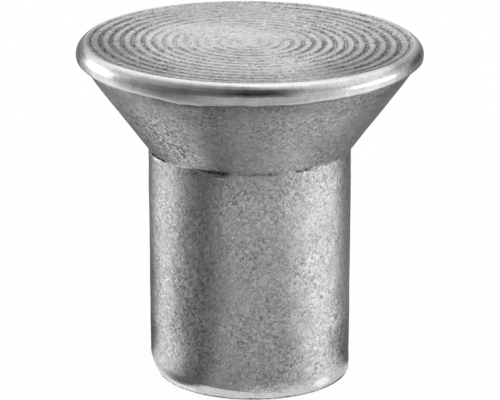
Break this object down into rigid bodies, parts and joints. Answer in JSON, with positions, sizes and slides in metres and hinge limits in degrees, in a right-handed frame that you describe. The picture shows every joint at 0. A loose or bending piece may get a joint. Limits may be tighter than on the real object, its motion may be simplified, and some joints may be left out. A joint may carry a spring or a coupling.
{
  "type": "countersunk rivet",
  "caption": "Solid countersunk rivet with a plain round shank and a 75 degree conical head whose face is flat and ring-turned. It sits flush in a countersunk hole and is closed on its free end.",
  "frame": {"origin": "centre of the head on the shank's axis, at the level of the flat shank end that it stands on", "axes": "+Z along the shank towards the head's face; the rounding of the shank end is longest on the -X side"},
  "size_m": [0.0102, 0.0102, 0.0103],
  "materials": {
    "metal": "tumbled bare steel, satin"
  },
  "bodies": {
    "root": {"rivet": "metal"}
  },
  "joints": []
}
